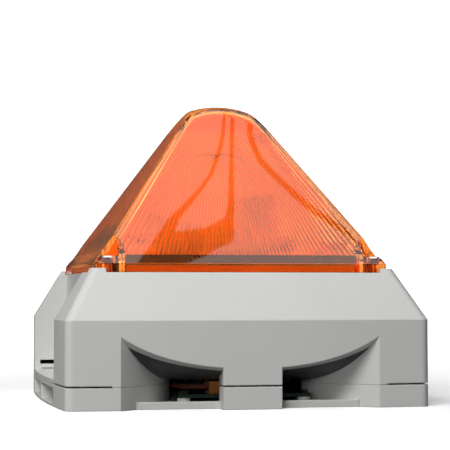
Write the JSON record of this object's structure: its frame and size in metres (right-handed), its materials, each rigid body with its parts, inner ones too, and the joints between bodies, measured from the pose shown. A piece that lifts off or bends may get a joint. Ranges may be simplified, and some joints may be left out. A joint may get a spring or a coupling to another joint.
{
  "type": "pyramid flashing sounder",
  "caption": "Square wall-mounted warning sounder with a ribbed amber pyramid beacon on a light grey two-part housing with side recesses and curved sound outlets.",
  "frame": {"origin": "middle of the underside, on the mounting surface", "axes": "+Z towards the tip of the lens, -Y to the front, the sides with the recesses at -X and +X"},
  "size_m": [0.171, 0.171, 0.142],
  "materials": {
    "housing_grey": "light grey moulded plastic, fine satin texture",
    "bowl_dark": "dark grey moulded plastic",
    "terminal_orange": "orange-brown glossy plastic",
    "screw_steel": "zinc-plated steel",
    "contact_brass": "bright brass",
    "circuit_board": "green lacquered laminate",
    "black_plastic": "black moulded plastic",
    "switch_blue": "blue plastic",
    "switch_white": "white plastic",
    "seal_rubber": "black soft rubber",
    "wire_red_brown": "brown insulation",
    "wire_dark_blue": "blue insulation",
    "magnet_iron": "dark plated iron",
    "cone_film": "thin translucent film",
    "coil_copper": "enamelled copper wire",
    "coil_tape": "yellow winding tape",
    "capacitor_sleeve": "dark printed sleeve without lettering",
    "carrier_dark": "dark grey moulded plastic",
    "spacer_nylon": "natural nylon",
    "tube_glass": "clear quartz glass",
    "amber_lens": "transparent amber polycarbonate with fine ribs"
  },
  "bodies": {
    "base": {"base_floor": "housing_grey", "base_corner_front_left": "housing_grey", "base_corner_front_right": "housing_grey", "base_corner_back_right": "housing_grey", "base_corner_back_left": "housing_grey", "screw_inserts": "contact_brass", "base_board": "circuit_board", "base_board_screws": "screw_steel", "terminal_block": "terminal_orange", "terminal_screws": "screw_steel", "contact_socket": "black_plastic", "cable_grommet": "seal_rubber", "tone_switch_housing": "switch_blue", "volume_control_body": "black_plastic", "supply_wire_live": "wire_red_brown", "supply_wire_neutral": "wire_dark_blue"},
    "tone_slider_1": {"tone_slider_1": "switch_white"},
    "tone_slider_2": {"tone_slider_2": "switch_white"},
    "tone_slider_3": {"tone_slider_3": "switch_white"},
    "tone_slider_4": {"tone_slider_4": "switch_white"},
    "volume_rotor": {"volume_rotor": "switch_white"},
    "cover": {"cover_housing": "housing_grey", "horn_bowl": "bowl_dark", "bowl_screws": "screw_steel", "contact_plug": "black_plastic", "contact_pins": "contact_brass", "riser_board": "circuit_board", "driver_gasket": "seal_rubber", "driver_frame": "black_plastic", "driver_magnet": "magnet_iron", "driver_screws": "screw_steel", "control_board": "circuit_board", "control_board_screws": "screw_steel", "transformer_core": "magnet_iron", "transformer_coil": "coil_tape", "board_capacitors": "capacitor_sleeve", "amplifier_chip": "black_plastic", "lens_gasket": "seal_rubber", "carrier_plate": "carrier_dark", "flash_spacers": "spacer_nylon", "flash_board": "circuit_board", "flash_board_screws": "screw_steel", "tube_holder": "black_plastic", "tube_electrodes": "contact_brass", "flash_tube": "tube_glass", "trigger_coil": "coil_copper", "flash_capacitor": "capacitor_sleeve"},
    "diaphragm": {"diaphragm": "cone_film", "voice_coil": "coil_copper"},
    "lens": {"lens": "amber_lens", "screw_seals": "seal_rubber"},
    "lens_screw_front_left": {"lens_screw_front_left": "screw_steel"},
    "lens_screw_front_right": {"lens_screw_front_right": "screw_steel"},
    "lens_screw_back_right": {"lens_screw_back_right": "screw_steel"},
    "lens_screw_back_left": {"lens_screw_back_left": "screw_steel"}
  },
  "joints": [
    {"name": "cover_lift", "type": "slide", "parent": "base", "child": "cover", "axis": [0, 0, 1], "range_m": [0, 0.09]},
    {"name": "lens_lift", "type": "slide", "parent": "cover", "child": "lens", "axis": [0, 0, 1], "range_m": [0, 0.09]},
    {"name": "lens_screw_front_left_turn", "type": "hinge", "parent": "lens", "child": "lens_screw_front_left", "pos_m": [-0.0615, -0.0615, 0.0649], "axis": [0, 0, 1], "continuous": true},
    {"name": "lens_screw_front_right_turn", "type": "hinge", "parent": "lens", "child": "lens_screw_front_right", "pos_m": [0.0615, -0.0615, 0.0649], "axis": [0, 0, 1], "continuous": true},
    {"name": "lens_screw_back_right_turn", "type": "hinge", "parent": "lens", "child": "lens_screw_back_right", "pos_m": [0.0615, 0.0615, 0.0649], "axis": [0, 0, 1], "continuous": true},
    {"name": "lens_screw_back_left_turn", "type": "hinge", "parent": "lens", "child": "lens_screw_back_left", "pos_m": [-0.0615, 0.0615, 0.0649], "axis": [0, 0, 1], "continuous": true},
    {"name": "tone_slider_1_travel", "type": "slide", "parent": "base", "child": "tone_slider_1", "axis": [0, 1, 0], "range_m": [0, 0.002]},
    {"name": "tone_slider_2_travel", "type": "slide", "parent": "base", "child": "tone_slider_2", "axis": [0, 1, 0], "range_m": [0, 0.002]},
    {"name": "tone_slider_3_travel", "type": "slide", "parent": "base", "child": "tone_slider_3", "axis": [0, 1, 0], "range_m": [0, 0.002]},
    {"name": "tone_slider_4_travel", "type": "slide", "parent": "base", "child": "tone_slider_4", "axis": [0, 1, 0], "range_m": [0, 0.002]},
    {"name": "volume_turn", "type": "hinge", "parent": "base", "child": "volume_rotor", "pos_m": [0.0175, -0.038, 0.0073], "axis": [0, 0, 1], "range_deg": [-135, 135]},
    {"name": "diaphragm_travel", "type": "slide", "parent": "cover", "child": "diaphragm", "axis": [0, 0, 1], "range_m": [-0.0005, 0.0005], "stiffness_N_per_m": 2000}
  ]
}
